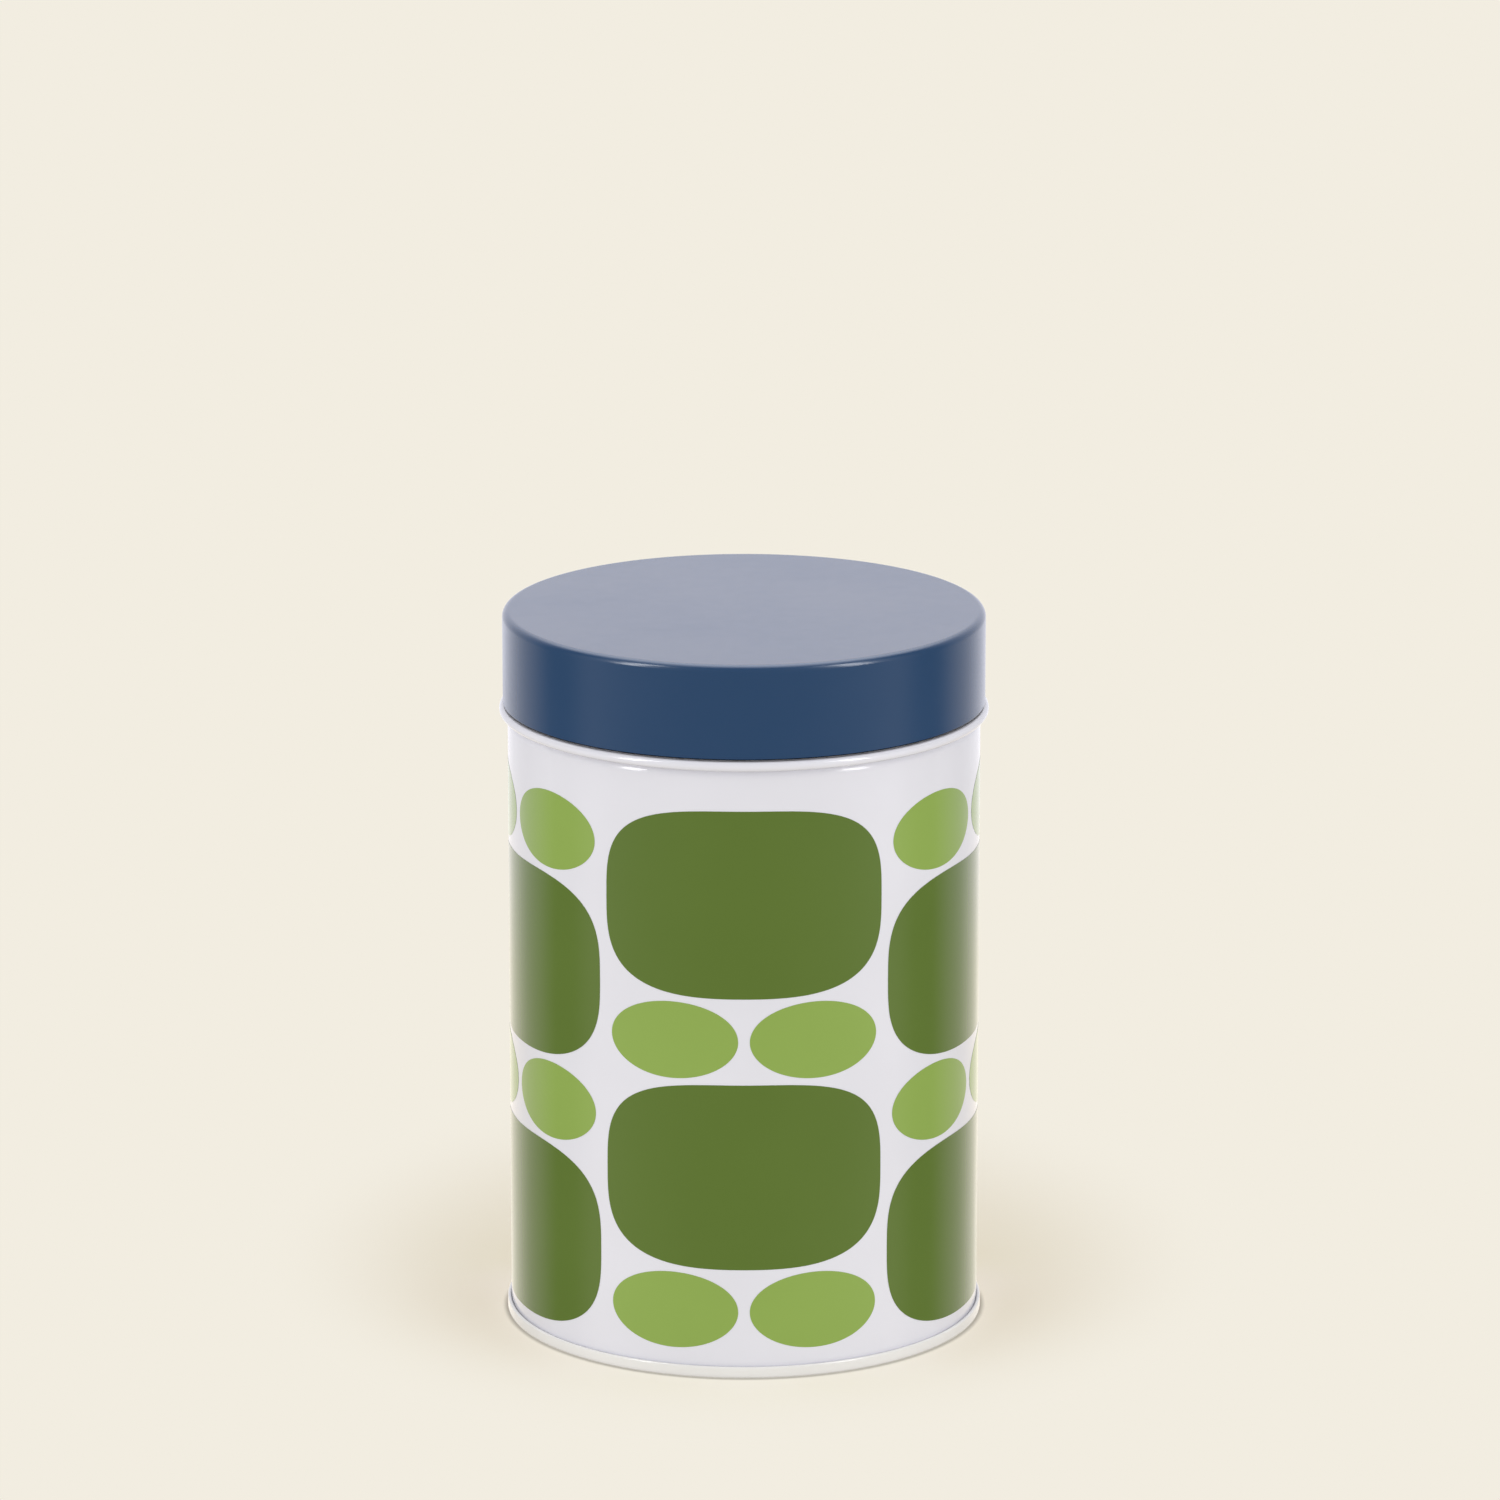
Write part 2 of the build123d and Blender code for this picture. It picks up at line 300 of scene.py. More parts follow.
class Nodes:
    """Short calls for building a shader from nodes."""

    def __init__(self, tree):
        self.tree = tree
        self.tree.nodes.clear()

    def add(self, kind, inputs=None, **settings):
        """A node with its inputs set to values or linked to other nodes' outputs."""
        node = self.tree.nodes.new(kind)
        for setting, value in settings.items():
            setattr(node, setting, value)
        for socket, value in (inputs or {}).items():
            if isinstance(value, bpy.types.NodeSocket):
                self.tree.links.new(value, node.inputs[socket])
            else:
                node.inputs[socket].default_value = value
        return node

    def place_of(self, stretch=(1, 1, 1)):
        """The point on the piece, in metres, stretched along the axes."""
        point = self.add("ShaderNodeTexCoord").outputs["Object"]
        return self.add("ShaderNodeMapping", {"Vector": point, "Scale": stretch}).outputs["Vector"]

    def noise(self, size, detail=2.0, stretch=(1, 1, 1)):
        """Noise from 0 to 1 whose features are about size across."""
        inputs = {"Vector": self.place_of(stretch), "Scale": 1 / size, "Detail": detail}
        return self.add("ShaderNodeTexNoise", inputs).outputs["Fac"]

    def spread(self, value, low, high, from_low=0.3, from_high=0.7, smooth=False):
        """A value moved from one range to another and kept within it."""
        inputs = {"Value": value, "From Min": from_low, "From Max": from_high, "To Min": low, "To Max": high}
        kind = "SMOOTHSTEP" if smooth else "LINEAR"
        return self.add("ShaderNodeMapRange", inputs, interpolation_type=kind).outputs["Result"]

    def maths(self, operation, *values):
        return self.add("ShaderNodeMath", dict(enumerate(values)), operation=operation).outputs[0]

    def vector_maths(self, operation, *values):
        """A vector, or a number from the operations that give one."""
        node = self.add("ShaderNodeVectorMath", dict(enumerate(values)), operation=operation)
        return node.outputs["Value" if operation in ("DOT_PRODUCT", "LENGTH") else "Vector"]

    def blend(self, share, first, second):
        """A colour between two colours."""
        return self.add("ShaderNodeMix", {0: share, 6: first, 7: second}, data_type="RGBA").outputs[2]

    def tones(self, share, colour, low, high):
        """A colour that varies from low times itself to high times itself."""
        return self.blend(share, shade(colour, low), shade(colour, high))

    def mix(self, share, first, second):
        """A shader between two shaders."""
        return self.add("ShaderNodeMixShader", {0: share, 1: first, 2: second}).outputs[0]

    def bump(self, height, depth, under=None):
        """A normal from a height map whose whole range is depth."""
        inputs = {"Height": height, "Distance": depth, "Strength": 1.0}
        if under is not None:
            inputs["Normal"] = under
        return self.add("ShaderNodeBump", inputs).outputs["Normal"]

    def surface(self, inputs):
        """A Principled surface as the shader's output."""
        shader = self.add("ShaderNodeBsdfPrincipled", inputs)
        self.add("ShaderNodeOutputMaterial", {"Surface": shader.outputs[0]})


def shade(colour, factor):
    """A colour made darker or lighter, with its alpha."""
    return tuple(channel * factor for channel in colour) + (1,)


def new_material(name):
    material = bpy.data.materials.new(name)
    material.use_nodes = True
    return material, Nodes(material.node_tree)


SHEET_WAVES = 12  # depth of the sheet's slow waves, in depths of the orange peel
GLOSS_CLOUDS = 0.12  # share of a lacquer's roughness that comes and goes in clouds
GLOSS_RUBS = 0.012  # roughness that fine rubs add or take
SLANT_SHADE = 0.3  # painted shade: how much darker a lacquer's colour is painted at a steep slant
SLANT_REACH = (0.45, 0.85)  # where that starts and is full, from 0 face on to 1 edge on


def lacquer(name, colour, roughness, ripple, ior=1.5):
    """Stoved lacquer or ink on tinplate: orange peel, fine rubs, cloudiness and painted shade at a slant."""
    material, nodes = new_material(name)
    cloud = nodes.noise(35 * MM, 3)
    peel = nodes.noise(1.6 * MM, 2)
    sheet = nodes.noise(28 * MM, 1)
    rubs = nodes.noise(0.6 * MM, 3, (0.2, 0.2, 1))
    gloss = nodes.maths(
        "ADD",
        nodes.spread(cloud, roughness * (1 - GLOSS_CLOUDS), roughness * (1 + GLOSS_CLOUDS)),
        nodes.spread(rubs, -GLOSS_RUBS, GLOSS_RUBS),
    )
    waves = nodes.bump(sheet, ripple * SHEET_WAVES)
    clouded = nodes.tones(nodes.spread(cloud, 0, 1), colour, 0.975, 1.02)
    # Painted shade: the colour is darkened where the surface is seen at a steep slant
    slant_shaded = nodes.blend(SLANT_SHADE, clouded, (0, 0, 0, 1))
    slant = nodes.spread(nodes.add("ShaderNodeLayerWeight").outputs["Facing"], 0, 1, *SLANT_REACH)
    nodes.surface(
        {
            "Base Color": nodes.blend(slant, clouded, slant_shaded),
            "Roughness": gloss,
            "IOR": ior,
            "Normal": nodes.bump(peel, ripple, waves),
        }
    )
    return material


def tinplate(name="tinplate"):
    """Satin tinplate: rolling grain along one way, slow changes in brightness, and a quarter of matt haze."""
    material, nodes = new_material(name)
    grain = nodes.noise(0.35 * MM, 4, (0.03, 1, 1))
    cloud = nodes.noise(14 * MM, 4)
    tone = nodes.maths("MULTIPLY_ADD", nodes.spread(grain, 0, 1), 0.6, nodes.spread(cloud, 0, 0.4))
    nodes.surface(
        {
            "Base Color": nodes.tones(tone, (0.76, 0.76, 0.74), 0.93, 1.05),
            "Metallic": 0.75,
            "Roughness": nodes.maths("ADD", nodes.spread(grain, 0.3, 0.37), nodes.spread(cloud, 0, 0.03)),
            "Normal": nodes.bump(grain, 0.0008 * MM),
        }
    )
    return material


def silicone(name="silicone"):
    """Milky silicone: soft gloss, fine moulded skin and a little light through it."""
    material, nodes = new_material(name)
    skin = nodes.noise(0.4 * MM, 3)
    cloud = nodes.noise(9 * MM, 2)
    nodes.surface(
        {
            "Base Color": nodes.tones(nodes.spread(cloud, 0, 1), (0.80, 0.81, 0.80), 0.96, 1.03),
            "Roughness": nodes.spread(skin, 0.38, 0.55),
            "Subsurface Weight": 0.15,
            "Subsurface Radius": (0.8 * MM, 0.8 * MM, 0.7 * MM),
            "Subsurface Scale": 1.0,
            "Normal": nodes.bump(skin, 0.006 * MM),
        }
    )
    return material


def sealing_compound(name="sealing_compound"):
    """Matt sealing compound, slightly grainy."""
    material, nodes = new_material(name)
    grain = nodes.noise(0.15 * MM, 4)
    nodes.surface(
        {
            "Base Color": nodes.blend(grain, (0.24, 0.20, 0.14, 1), (0.32, 0.27, 0.19, 1)),
            "Roughness": nodes.spread(grain, 0.7, 0.85),
            "Normal": nodes.bump(grain, 0.01 * MM),
        }
    )
    return material


def moulded_plastic(name, colour):
    """Glossy moulded plastic with the faint texture of its mould."""
    material, nodes = new_material(name)
    skin = nodes.noise(0.3 * MM, 3)
    flow = nodes.noise(6 * MM, 2)
    nodes.surface(
        {
            "Base Color": nodes.tones(nodes.spread(flow, 0, 1), colour, 0.94, 1.06),
            "Roughness": nodes.spread(skin, 0.18, 0.24),
            "Normal": nodes.bump(skin, 0.002 * MM),
        }
    )
    return material


def turned_aluminium(name="turned_aluminium"):
    """Aluminium with the rings that heading leaves."""
    material, nodes = new_material(name)
    rings = nodes.add(
        "ShaderNodeTexWave",
        {"Vector": nodes.place_of(), "Scale": 1 / (3 * MM), "Distortion": 0.6},
        wave_type="RINGS",
        rings_direction="Z",
    ).outputs["Fac"]
    nodes.surface(
        {
            "Base Color": nodes.blend(rings, (0.66, 0.67, 0.68, 1), (0.76, 0.77, 0.78, 1)),
            "Metallic": 1.0,
            "Roughness": nodes.spread(rings, 0.28, 0.38, 0, 1),
            "Normal": nodes.bump(rings, 0.003 * MM),
        }
    )
    return material


WHITE = lacquer("white_lacquer", (0.80, 0.798, 0.870), 0.16, 0.0012 * MM)
# The wall's white lacquer with painted warm light: warmer, for the cream floor's light on the base seam
BASE_WHITE_PAINTED_WARM = lacquer("base_lacquer_painted_warm", (0.86, 0.85, 0.84), 0.16, 0.0012 * MM)
DARK_GREEN = lacquer("dark_green_ink", (0.118, 0.187, 0.035), 0.15, 0.0012 * MM)
LIGHT_GREEN = lacquer("light_green_ink", (0.288, 0.426, 0.095), 0.15, 0.0012 * MM)
BLUE = lacquer("blue_lacquer", (0.0235, 0.0645, 0.151), 0.22, 0.0010 * MM)
# Painted shade for the lid hem's underside, which lies in deep shadow over the bead: near black, little gloss
HEM_PAINTED_SHADE = lacquer("hem_painted_shade", (0.003, 0.006, 0.014), 0.22, 0.0010 * MM, ior=1.2)
TINPLATE = tinplate()
SILICONE = silicone()
COMPOUND = sealing_compound()
KNOB_PLASTIC = moulded_plastic("knob_plastic", (0.022, 0.058, 0.130))
ALUMINIUM = turned_aluminium()


# The tin


def plateau(at, low, high, ramp):
    """1 between low and high, falling smoothly to 0 within ramp outside them."""
    inside = min(at - low, high - at) / ramp + 1
    share = min(max(inside, 0), 1)
    return share * share * (3 - 2 * share)


def fold_lock_seam(wall):
    """Thickens the wall inwards beside the back line and sinks a fine groove along that line outside."""
    middle_r = WALL_R - HALF
    for vertex in wall.data.vertices:
        point = vertex.co
        radius = math.hypot(point.x, point.y)
        around = (math.atan2(point.y, point.x) - math.pi / 2) * WALL_R
        rise = plateau(point.z, LOCK_FOOT_Z + LOCK_RAMP, LOCK_TOP_Z - LOCK_RAMP, LOCK_RAMP)
        if rise == 0 or abs(radius - middle_r) > GAUGE:
            continue
        if radius < middle_r:
            sink = LOCK_THICK * plateau(around, 0, LOCK_WIDTH, LOCK_RAMP / 2)
        else:
            sink = GROOVE_DEPTH * plateau(around, 0, 0, GROOVE_HALF)
        scale = (radius - sink * rise) / radius
        vertex.co = (point.x * scale, point.y * scale, point.z)


def build_wall():
    wall_r = WALL_R - HALF
    neck_r = NECK_R - HALF
    strip = Strip(BODY_HOOK_R, SEAM_TOP_BEND_Z - HALF, -90)
    strip.run_to(height=BODY_HOOK_FOOT_Z)
    strip.bend(HOOK_BEND, -180)
    for height in (LOCK_FOOT_Z, LOCK_FOOT_Z + LOCK_RAMP, LOCK_TOP_Z - LOCK_RAMP, LOCK_TOP_Z, SHOULDER_Z):
        strip.run_to(height=height)
    strip.bend(SHOULDER_BEND, SHOULDER_ANGLE)
    strip.bend(CREASE_BEND, -90 - SHOULDER_ANGLE)
    strip.run_to(radius=BEAD_R - BEAD_HALF)
    strip.bend(CREST_BEND, 180)
    strip.run_to(radius=neck_r + CREASE_BEND)
    strip.bend(CREASE_BEND, -90)
    strip.run_to(height=MOUTH_Z - MOUTH_CURL_R)
    strip.bend(MOUTH_CURL_R - HALF, 300)
    wall = turned_strip("tin_wall", strip, TINPLATE, WHITE, turn_with_lock_seam())
    fold_lock_seam(wall)
    place(wall, "tin", "white_lacquer", "body_wall")


def build_base():
    rim_bend = 2 * SEAM_FOOT_BEND
    seam_wall_r = SEAM_R - HALF
    strip = Strip(0, BASE_PANEL_Z, 0)
    for radius, angle in zip(BASE_STEPS_R, (PRESS_ANGLE, -PRESS_ANGLE, PRESS_ANGLE)):
        strip.run_to(radius=radius).step(angle)
    strip.run_to(radius=CHUCK_R - rim_bend)
    strip.bend(rim_bend, -90)
    strip.run_to(height=HALF + SEAM_FOOT_BEND)
    strip.bend(SEAM_FOOT_BEND, 90)
    strip.run_to(radius=seam_wall_r - SEAM_FOOT_BEND)
    strip.bend(SEAM_FOOT_BEND, 90)
    strip.run_to(height=SEAM_TOP_BEND_Z)
    strip.bend(HOOK_BEND, 180)
    strip.run_to(height=BODY_HOOK_FOOT_Z + GAUGE)
    # The base's outside shows the white with the floor's warm light painted in
    place(turned_strip("tin_base", strip, TINPLATE, BASE_WHITE_PAINTED_WARM), "tin", "white_lacquer", "base_end")


def build_lid():
    skirt_r = LID_R - HALF
    corner_bend = LID_CORNER - HALF
    strip = Strip(0, TIN_TOP_Z - HALF, 0)
    strip.run_to(radius=skirt_r - corner_bend)
    strip.bend(corner_bend, -90)
    strip.run_to(height=LID_FOOT_Z + HEM_R)
    strip.bend(HEM_R - HALF, -250)
    lid = turned_strip("lid", strip, BLUE, TINPLATE)
    # Painted shade: the hem's underside takes a near-black material where only shadow falls
    lid.data.materials.append(HEM_PAINTED_SHADE)
    for face in lid.data.polygons:
        if face.material_index == 0 and face.center.z < LID_FOOT_Z + HEM_SHADE_REACH:
            face.material_index = 2
    place(lid, "lid", "blue_lacquer", "lid_shell")


def build_inner_lid():
    wall_r = PLUG_R - HALF
    floor_bend = 1.2 * MM
    flange_bend = 0.4 * MM
    strip = Strip(RIVET_HOLE_R, PLUG_FLOOR_Z, 0)
    for radius, angle in zip(PLUG_STEPS_R, (PRESS_ANGLE, -PRESS_ANGLE)):
        strip.run_to(radius=radius).step(angle)
    strip.run_to(radius=wall_r - floor_bend)
    strip.bend(floor_bend, 90)
    strip.run_to(height=FLANGE_TOP_Z - HALF - flange_bend)
    strip.bend(flange_bend, -90)
    strip.run_to(radius=FLANGE_R)
    plug = turned_strip("inner_lid_pressing", strip, TINPLATE, TINPLATE)
    place(plug, "inner_lid_plug", "tinplate", "inner_lid")


def build_knob():
    """Turned mushroom knob, with a blind bore for the rivet."""
    low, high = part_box("inner_lid_knob")
    brim_r = reach("inner_lid_knob") - KNOB_BRIM
    brim_top_z = high.z - KNOB_CROWN
    brim_foot = (brim_r, brim_top_z - 2 * KNOB_BRIM)
    foot_edge = (KNOB_FOOT_R, low.z + KNOB_FOOT_EDGE)
    outline = [
        (BORE_R, low.z),
        (KNOB_FOOT_R - KNOB_FOOT_ROUND, low.z),
        (KNOB_FOOT_R, low.z + KNOB_FOOT_ROUND),
        foot_edge,
        *arc(foot_edge, (KNOB_WAIST_R, low.z + KNOB_WAIST_LIFT), brim_foot),
        *arc(brim_foot, (brim_r + KNOB_BRIM, brim_top_z - KNOB_BRIM), (brim_r, brim_top_z)),
        *dome(brim_r, brim_top_z, high.z),
        (0, low.z + BORE_DEPTH),
        (BORE_R, low.z + BORE_DEPTH),
    ]
    knob = turned("lid_knob", outline, (KNOB_PLASTIC,), angles=even_turn(KNOB_TURN_STEPS))
    place(knob, "inner_lid_plug", "knob_plastic", "inner_lid_knob")


def build_rivet():
    """Rivet from below: a low domed head under the inner lid's floor, and its shank."""
    low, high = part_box("inner_lid_rivet")
    head_r = reach("inner_lid_rivet")
    head_edge_z = low.z + RIVET_HEAD_CROWN
    head_top_z = head_edge_z + RIVET_HEAD_EDGE
    outline = [
        (head_r, head_edge_z),
        *dome(head_r, head_edge_z, low.z),
        (0, high.z),
        (RIVET_R, high.z),
        (RIVET_R, head_top_z),
        (head_r, head_top_z),
    ]
    rivet = turned("knob_rivet", outline, (ALUMINIUM,), angles=even_turn(KNOB_TURN_STEPS))
    place(rivet, "inner_lid_plug", "rivet_aluminium", "inner_lid_rivet")


def soft_ring(name, node, body):
    """A moulded ring that fills a CAD ring's section, with rounded corners."""
    low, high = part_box(node)
    outer = reach(node)
    inner = min(math.hypot(vertex.co.x, vertex.co.y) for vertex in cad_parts[node].data.vertices)
    corner = (high.z - low.z) * SOFT_CORNER
    ends = {1: outer - corner, -1: inner + corner}
    levels = {1: high.z - corner, -1: low.z + corner}
    outline = []
    for quarter, (side, level) in enumerate(((1, 1), (-1, 1), (-1, -1), (1, -1))):
        for step in range(SOFT_CORNER_STEPS + 1):
            angle = math.pi / 2 * (quarter + step / SOFT_CORNER_STEPS)
            outline.append((ends[side] + corner * math.cos(angle), levels[level] + corner * math.sin(angle)))
    place(turned(name, outline, (SILICONE,)), body, "silicone", node)


def ink_patch(bm, middle, columns):
    """Adds a thin closed patch of ink on the wall. Columns hold (place round the wall, low, high)."""
    layers = []
    for around, low, high in columns:
        angle = middle + around / WALL_R
        heights = (low, high) if high > low else (low,)
        inner_and_outer = []
        for lift in (PRINT_LIFT, PRINT_LIFT + PRINT_THICK):
            x = (WALL_R + lift) * math.cos(angle)
            y = (WALL_R + lift) * math.sin(angle)
            inner_and_outer.append([bm.verts.new((x, y, height)) for height in heights])
        layers.append(inner_and_outer)
    for (inner, outer), (next_inner, next_outer) in zip(layers, layers[1:]):
        for near, far in ((inner, next_inner), (outer, next_outer)):
            bm.faces.new(list(dict.fromkeys((near[0], far[0], far[-1], near[-1]))))
        for end in (0, -1):
            bm.faces.new((inner[end], next_inner[end], next_outer[end], outer[end]))


def rounded_patch(bm, middle, centre_z, size, squareness):
    """A patch whose outline is a superellipse, which is an ellipse at squareness 2."""
    half_width = size[0] / 2
    half_height = size[1] / 2
    columns = []
    for step in range(-PATCH_STEPS, PATCH_STEPS + 1):
        share = math.sin(math.pi / 2 * step / PATCH_STEPS)
        rise = half_height * max(0, 1 - abs(share) ** squareness) ** (1 / squareness)
        columns.append((share * half_width, centre_z - rise, centre_z + rise))
    ink_patch(bm, middle, columns)


def build_print():
    """The print: columns of blocks and pairs of ovals, every other column upside down."""
    blocks = bmesh.new()
    ovals = bmesh.new()
    row_height = (PRINT_TOP_Z - PRINT_FOOT_Z) / PRINT_ROWS
    oval_band = row_height - BLOCK_SIZE[1]
    for column in range(PRINT_COLUMNS):
        steps_from_front = column - PRINT_COLUMNS // 2
        middle = -math.pi / 2 + steps_from_front * PRINT_PITCH / WALL_R
        block_first = steps_from_front % 2 == 1
        for row in range(PRINT_ROWS):
            foot = PRINT_FOOT_Z + row * row_height
            block_z = foot + BLOCK_SIZE[1] / 2 + (0 if block_first else oval_band)
            oval_z = foot + oval_band / 2 + (BLOCK_SIZE[1] if block_first else 0)
            rounded_patch(blocks, middle, block_z, BLOCK_SIZE, BLOCK_SQUARENESS)
            for side in (-1, 1):
                aside = side * (OVAL_SIZE[0] + OVAL_GAP) / 2 / WALL_R
                rounded_patch(ovals, middle + aside, oval_z, OVAL_SIZE, 2)
    place(make_object("print_dark_green", blocks, (DARK_GREEN,)), "tin", "dark_green_ink")
    place(make_object("print_light_green", ovals, (LIGHT_GREEN,)), "tin", "light_green_ink")


def dress(node, material):
    """Gives a CAD node that stays in view its material."""
    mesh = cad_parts[node].data
    mesh.materials.clear()
    mesh.materials.append(material)


build_wall()
build_base()
build_print()
build_lid()
build_inner_lid()
build_knob()
build_rivet()
soft_ring("lid_seal_ring", "lid_seal", "lid_ring")
soft_ring("inner_lid_seal_ring", "inner_lid_gasket", "inner_lid_ring")
dress("base_seam_gasket", COMPOUND)


# Studio

PALE = (0.888, 0.847, 0.752)  # the plain ground and backdrop
ROOM_LIGHT = 0.66  # the room as a light: its mean, how much it gains at the sides and how much in front
ROOM_SIDES = 0.75
ROOM_FRONT = 0.35
HORIZON = (  # the room as the lacquer mirrors it: azimuth from the front, and brightness
    (0, 0.05),
    (50, 0.2),
    (78, 0.5),
    (92, 0.05),
    (106, 0.05),
    (118, 0.56),
    (132, 0.88),
    (144, 1.20),
    (156, 1.34),
    (172, 1.34),
)
HORIZON_TINT = (0.98, 0.98, 1.08, 1)  # its colour far off, and on the floor near the tin
FLOOR_TINT = (1.07, 0.99, 0.88, 1)
TINT_REACH = (0.3, 0.6)  # metres from the axis where one colour fades into the other
OVERHEAD_GLOW = 2.6  # the mirrored panel overhead, how far it leans back, and the cosines of its soft edge
OVERHEAD_LEAN = math.radians(20)
OVERHEAD_EDGE = (0.72, 0.98)
FLOOR_SOAK = (0.66, 0.82, 0.86)  # share of the room's light that the floor gives back round the tin
SOAK_MIDDLE = (0, 40 * MM, 0)  # middle of that patch, behind the tin
SOAK_REACH = (60 * MM, 115 * MM)  # how far from that middle the share starts to fade and ends
SOAK_STRETCH = (1, 1 / 1.2, 1)  # the patch is longer front to back
CONTACT_SHADE = 0.45  # how dark the floor gets against the base seam
CONTACT_REACH = 1.4 * MM
FLOOR_LIGHT = (0.89, 0.86, 0.78)  # the open floor as a light
FLOOR_HALF = 8.0
STRIP_AZIMUTH = 55  # the strip lights at both sides of the camera, in degrees and metres
STRIP_ELEVATION = 32
STRIP_DISTANCE = 1.1
STRIP_SIZE = (0.2, 0.8)
STRIP_BRIGHTNESS = 11
CAMERA_PLACE = (0, -1.804, 0.6027)
CAMERA_DIP = 14.62  # degrees that it looks down
CAMERA_LENS = 196.6
CAMERA_SENSOR = 36
CAMERA_SHIFT = 0.0040


def from_camera(nodes, vector):
    """A vector turned about the upright axis, so that +Y is the way that the camera faces."""
    turn = {"vector_type": "VECTOR", "convert_from": "CAMERA", "convert_to": "WORLD"}
    right = nodes.add("ShaderNodeVectorTransform", {0: (1, 0, 0)}, **turn).outputs[0]
    ahead = nodes.vector_maths("CROSS_PRODUCT", (0, 0, 1), right)
    turned_vector = {
        "X": nodes.vector_maths("DOT_PRODUCT", vector, right),
        "Y": nodes.vector_maths("DOT_PRODUCT", vector, ahead),
        "Z": nodes.add("ShaderNodeSeparateXYZ", {0: vector}).outputs["Z"],
    }
    return nodes.add("ShaderNodeCombineXYZ", turned_vector).outputs[0]


def horizon_glow(nodes, direction):
    """How bright the room looks in the lacquer along a direction, by its azimuth alone."""
    unit = nodes.vector_maths("NORMALIZE", nodes.vector_maths("MULTIPLY", direction, (1, 1, 0)))
    backwards = nodes.add("ShaderNodeSeparateXYZ", {0: unit}).outputs["Y"]
    ramp_node = nodes.add("ShaderNodeValToRGB", {"Fac": nodes.spread(backwards, 0, 1, -1, 1)})
    stops = ramp_node.color_ramp.elements
    stops.remove(stops[1])
    for azimuth, glow in HORIZON:
        place_on_ramp = (1 - math.cos(math.radians(azimuth))) / 2
        stop = stops[0] if azimuth == 0 else stops.new(place_on_ramp)
        stop.color = (glow, glow, glow, 1)
    return ramp_node.outputs["Color"]


def soaked(plain):
    """A floor brightness without the part that the room's light gives it round the tin."""
    open_light = ROOM_LIGHT + ROOM_SIDES / 4  # the gain at the sides comes to a quarter on a level floor
    return tuple(whole - share * open_light for whole, share in zip(plain, FLOOR_SOAK)) + (1,)


def by_ray(nodes, lit, mirrored, seen):
    """One shader for rays that light things, one for rays that things mirror and one for the camera."""
    ray = nodes.add("ShaderNodeLightPath").outputs
    return nodes.mix(ray["Is Camera Ray"], nodes.mix(ray["Is Glossy Ray"], lit, mirrored), seen)


def set_world():
    """The room: soft light that is strongest from the sides, and plain where the camera sees it."""
    world = bpy.data.worlds.new("studio")
    world.use_nodes = True
    bpy.context.scene.world = world
    nodes = Nodes(world.node_tree)
    direction = from_camera(nodes, nodes.add("ShaderNodeTexCoord").outputs["Generated"])
    along = nodes.add("ShaderNodeSeparateXYZ", {0: direction}).outputs
    sides = nodes.maths("MULTIPLY", nodes.maths("MULTIPLY", along["X"], along["X"]), ROOM_SIDES)
    forwards = nodes.maths("MULTIPLY_ADD", along["Y"], -ROOM_FRONT, ROOM_LIGHT)
    strength = nodes.maths("ADD", sides, forwards)
    lit = nodes.add("ShaderNodeBackground", {"Color": (1, 1, 1, 1), "Strength": strength}).outputs[0]
    upwards = (0, math.sin(OVERHEAD_LEAN), math.cos(OVERHEAD_LEAN))
    towards = nodes.vector_maths("DOT_PRODUCT", direction, upwards)
    overhead = nodes.spread(towards, 0, OVERHEAD_GLOW, *OVERHEAD_EDGE)
    level = horizon_glow(nodes, direction)
    horizon = nodes.add("ShaderNodeBackground", {"Color": HORIZON_TINT, "Strength": level}).outputs[0]
    above = nodes.add("ShaderNodeBackground", {"Color": (1, 1, 1, 1), "Strength": overhead}).outputs[0]
    mirrored = nodes.add("ShaderNodeAddShader", {0: horizon, 1: above}).outputs[0]
    seen = nodes.add("ShaderNodeBackground", {"Color": PALE + (1,)}).outputs[0]
    nodes.add("ShaderNodeOutputWorld", {"Surface": by_ray(nodes, lit, mirrored, seen)})


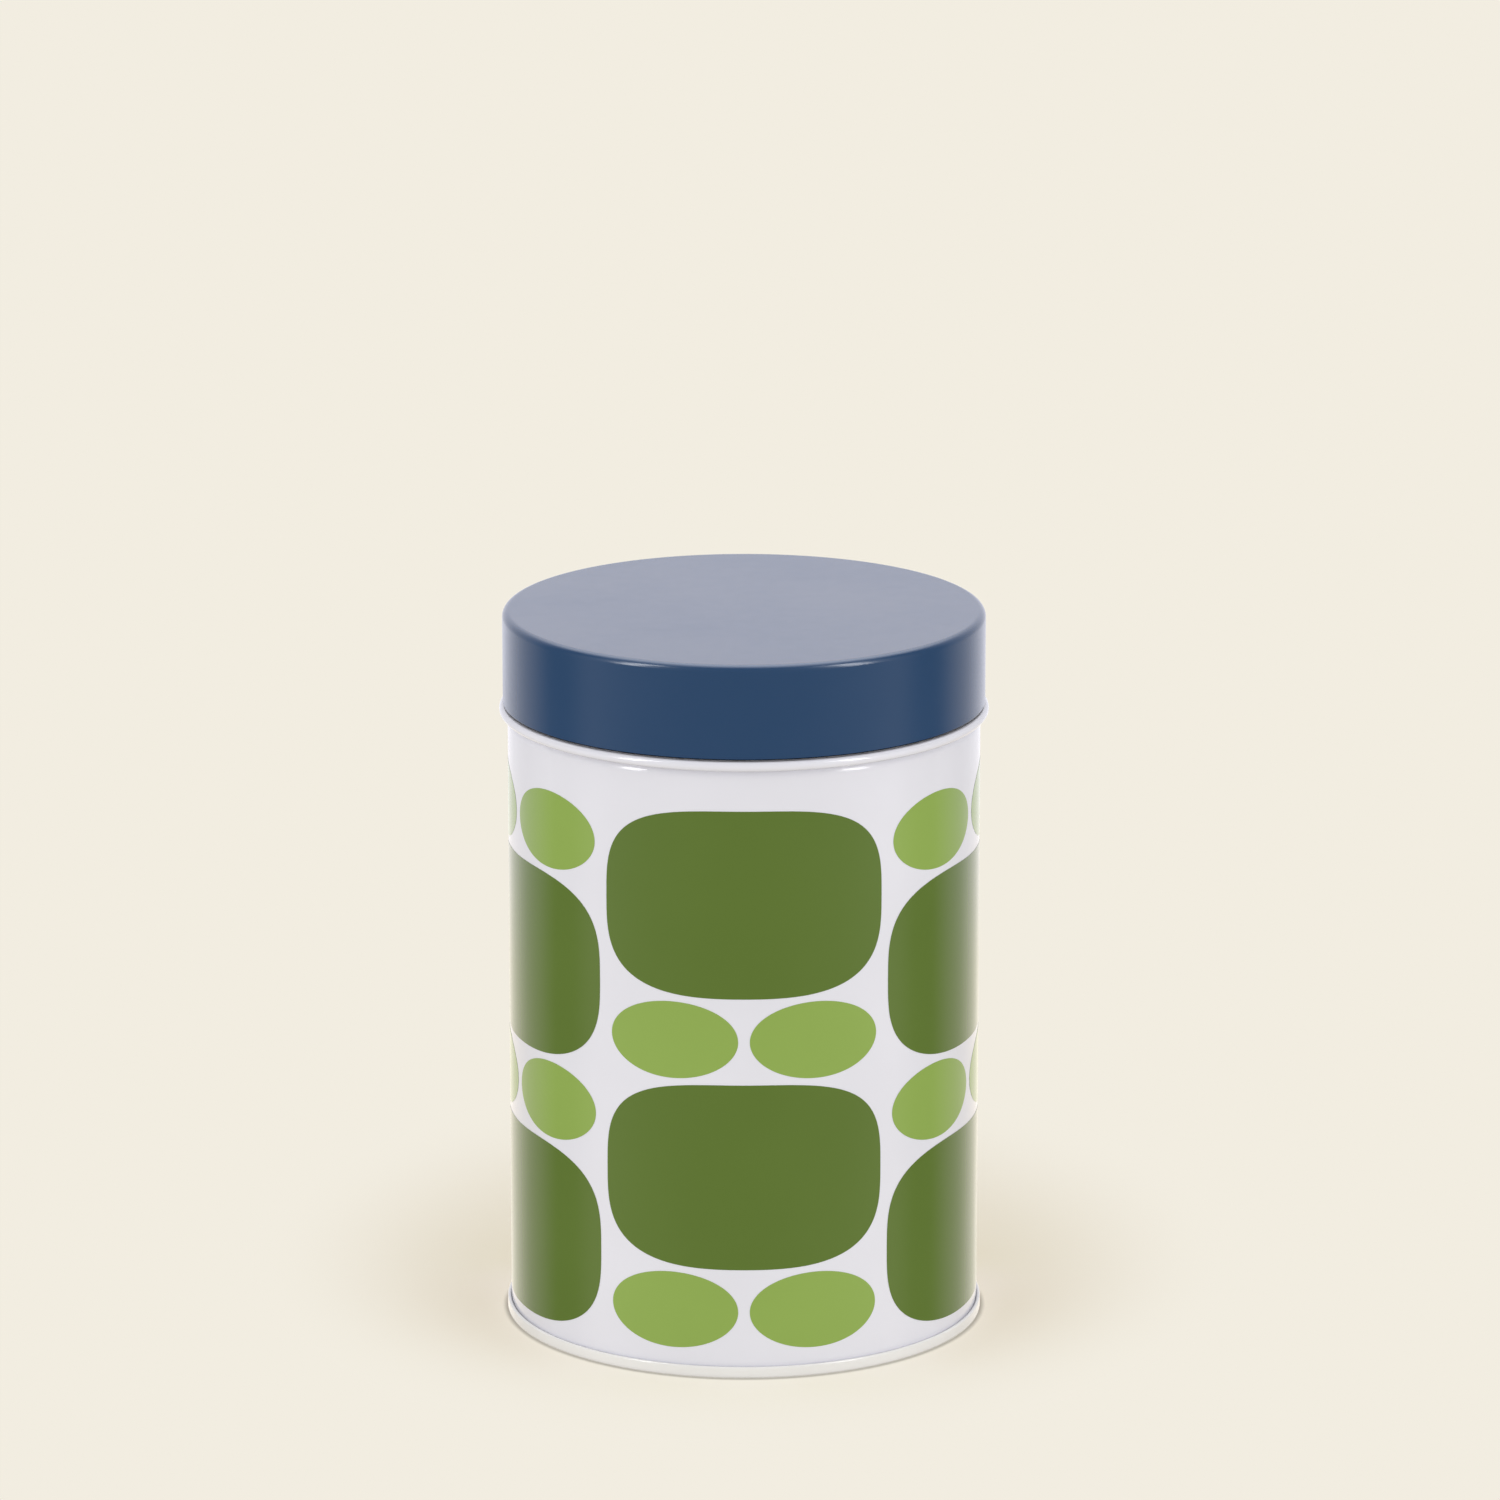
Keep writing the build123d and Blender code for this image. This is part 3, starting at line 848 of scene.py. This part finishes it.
def build_floor():
    """A plain pale floor that glows evenly and takes the room's soft shadows round the tin.

    It can't be seen from below, so that the tin's underside can.
    """
    bm = bmesh.new()
    bmesh.ops.create_grid(bm, x_segments=2, y_segments=2, size=FLOOR_HALF)
    material, nodes = new_material("floor")
    point = from_camera(nodes, nodes.add("ShaderNodeTexCoord").outputs["Object"])
    aside = nodes.vector_maths("SUBTRACT", point, SOAK_MIDDLE)
    away = nodes.vector_maths("LENGTH", nodes.vector_maths("MULTIPLY", aside, SOAK_STRETCH))
    from_axis = nodes.vector_maths("LENGTH", point)
    clear_of_tin = nodes.maths("GREATER_THAN", from_axis, SEAM_R)
    near = nodes.maths("MULTIPLY", nodes.spread(away, 1, 0, *SOAK_REACH, smooth=True), clear_of_tin)
    open_share = nodes.spread(from_axis, 1 - CONTACT_SHADE, 1, SEAM_R, SEAM_R + CONTACT_REACH, smooth=True)
    soak = nodes.blend(nodes.maths("MULTIPLY", near, open_share), (0, 0, 0, 1), FLOOR_SOAK + (1,))
    matt = nodes.add("ShaderNodeBsdfDiffuse", {"Color": soak}).outputs[0]
    glows = []
    for plain in (FLOOR_LIGHT, PALE):
        colour = nodes.blend(near, plain + (1,), soaked(plain))
        glow = nodes.add("ShaderNodeEmission", {"Color": colour, "Strength": open_share}).outputs[0]
        glows.append(nodes.add("ShaderNodeAddShader", {0: glow, 1: matt}).outputs[0])
    geometry = nodes.add("ShaderNodeNewGeometry").outputs
    ahead = from_camera(nodes, nodes.vector_maths("MULTIPLY", geometry["Incoming"], (-1, -1, -1)))
    tint = nodes.blend(nodes.spread(from_axis, 0, 1, *TINT_REACH), FLOOR_TINT, HORIZON_TINT)
    glow = {"Color": tint, "Strength": horizon_glow(nodes, ahead)}
    mirrored = nodes.add("ShaderNodeEmission", glow).outputs[0]
    clear = nodes.add("ShaderNodeBsdfTransparent").outputs[0]
    seen = nodes.mix(geometry["Backfacing"], glows[1], clear)
    nodes.add("ShaderNodeOutputMaterial", {"Surface": by_ray(nodes, glows[0], mirrored, seen)})
    make_object("floor", bm, (material,))


def make_light_stand():
    """An empty on the tin's axis that turns with the camera, for the lights to stand on."""
    stand = bpy.data.objects.new("light_stand", None)
    bpy.context.scene.collection.objects.link(stand)
    follow = stand.constraints.new("COPY_ROTATION")
    follow.target = bpy.context.scene.camera
    follow.use_x = False
    follow.use_y = False
    return stand


def strip_light(name, stand, azimuth):
    """A tall panel that only the gloss shows. It faces the tin, from azimuth 0 on the camera's side."""
    turn = math.radians(azimuth)
    rise = math.radians(STRIP_ELEVATION)
    middle = Vector((0, 0, TIN_TOP_Z / 2))
    out = Vector((math.sin(turn) * math.cos(rise), -math.cos(turn) * math.cos(rise), math.sin(rise)))
    light = bpy.data.lights.new(name, "AREA")
    light.shape = "RECTANGLE"
    light.size, light.size_y = STRIP_SIZE
    light.energy = STRIP_BRIGHTNESS * math.pi * math.prod(STRIP_SIZE)
    lamp = bpy.data.objects.new(name, light)
    lamp.location = middle + out * STRIP_DISTANCE
    lamp.rotation_euler = out.to_track_quat("Z", "Y").to_euler()
    lamp.parent = stand
    lamp.visible_camera = False
    lamp.visible_diffuse = False
    bpy.context.scene.collection.objects.link(lamp)


def set_camera():
    """The camera stands in front of the tin and looks down a little, through a long lens."""
    data = bpy.data.cameras.new("camera")
    data.sensor_width = CAMERA_SENSOR
    data.lens = CAMERA_LENS
    data.shift_x = CAMERA_SHIFT
    camera = bpy.data.objects.new("camera", data)
    camera.location = CAMERA_PLACE
    camera.rotation_euler = (math.radians(90 - CAMERA_DIP), 0, 0)
    bpy.context.scene.collection.objects.link(camera)
    bpy.context.scene.camera = camera


set_world()
build_floor()
set_camera()
light_stand = make_light_stand()
strip_light("strip_left", light_stand, -STRIP_AZIMUTH)
strip_light("strip_right", light_stand, STRIP_AZIMUTH)
bpy.context.scene.view_settings.view_transform = "Standard"
